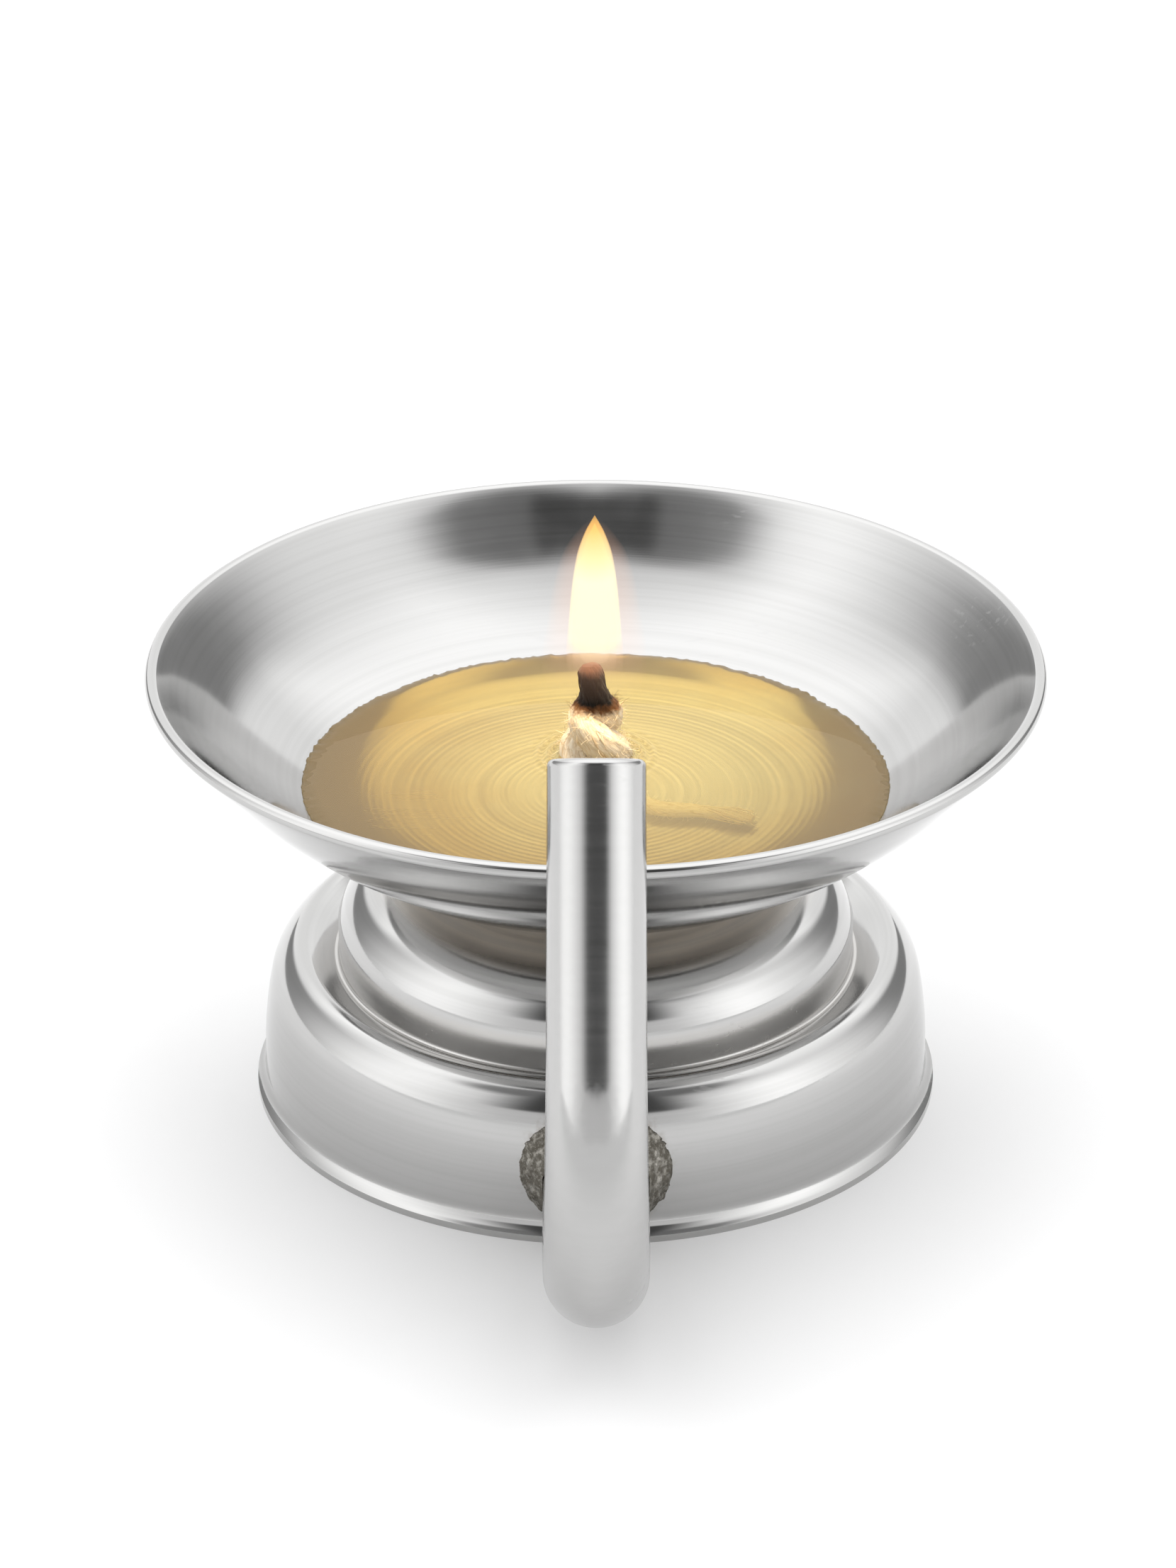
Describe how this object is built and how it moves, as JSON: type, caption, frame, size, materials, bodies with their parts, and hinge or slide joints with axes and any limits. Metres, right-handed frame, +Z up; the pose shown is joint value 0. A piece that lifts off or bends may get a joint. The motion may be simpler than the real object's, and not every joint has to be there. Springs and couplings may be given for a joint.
{
  "type": "butter lamp",
  "caption": "Small steel butter lamp: a flared bowl on a stepped hollow pedestal with a bent tube handle, holding melted butter and a standing cotton wick.",
  "frame": {"origin": "centre of the foot ring, on the table", "axes": "+Z up along the lamp's axis, -Y towards the handle, +X to the right of someone who faces the handle"},
  "size_m": [0.077, 0.0989, 0.0537],
  "materials": {
    "steel": "satin, spun and polished",
    "weld": "rough, heat stained",
    "butter": "clear golden liquid",
    "cotton": "twisted cotton with a charred tip"
  },
  "bodies": {
    "lamp": {"pedestal": "steel", "bowl": "steel", "neck_weld": "weld", "handle_tube": "steel", "handle_cap": "steel", "handle_weld": "weld", "butter": "butter"},
    "wick": {"wick": "cotton"}
  },
  "joints": [
    {"name": "wick_lift", "type": "slide", "parent": "lamp", "child": "wick", "axis": [0, 0, 1], "range_m": [0, 0.02]}
  ]
}
